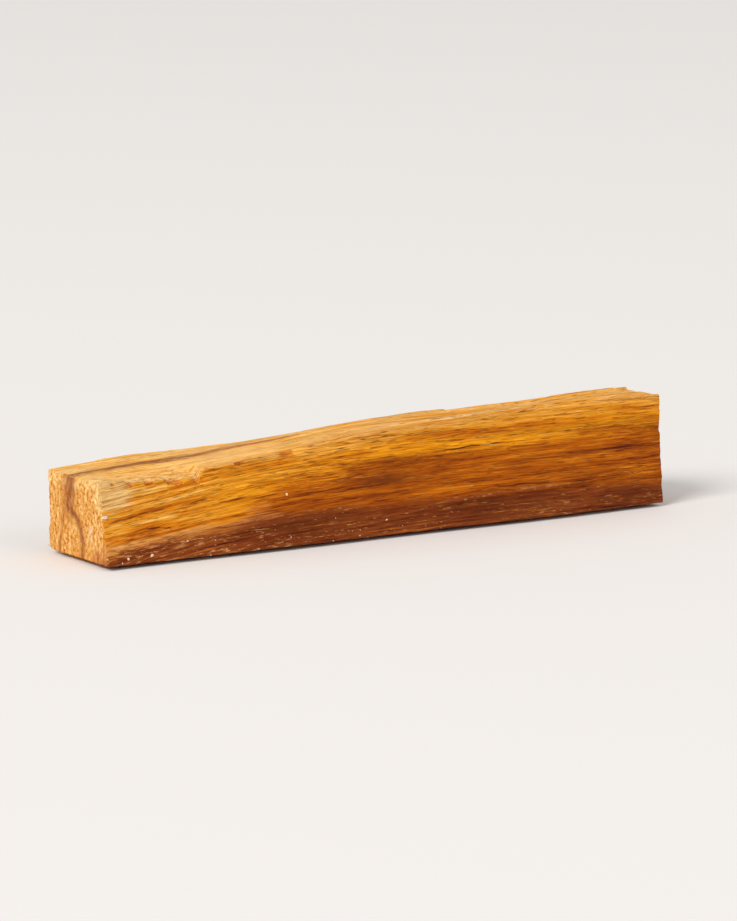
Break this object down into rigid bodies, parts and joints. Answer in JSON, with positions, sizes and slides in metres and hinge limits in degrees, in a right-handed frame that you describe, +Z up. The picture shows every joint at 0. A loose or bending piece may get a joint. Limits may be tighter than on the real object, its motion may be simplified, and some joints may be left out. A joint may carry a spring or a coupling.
{
  "type": "palo santo stick",
  "caption": "Split stick of resinous palo santo wood, a slightly wedged square bar with sawn ends, torn edges and long split ledges, lying on its flat underside.",
  "frame": {"origin": "centre of the bounding box, at the level of the flat underside", "axes": "+X along the grain from the thin near end to the thick far end, +Y from the front face to the back face, +Z up"},
  "size_m": [0.1, 0.018, 0.0174],
  "materials": {
    "resinous_wood": "raw split and sawn resinous wood, honey gold with brown resin streaks, pale worn edges and fine open pores"
  },
  "bodies": {
    "root": {"stick": "resinous_wood"}
  },
  "joints": []
}
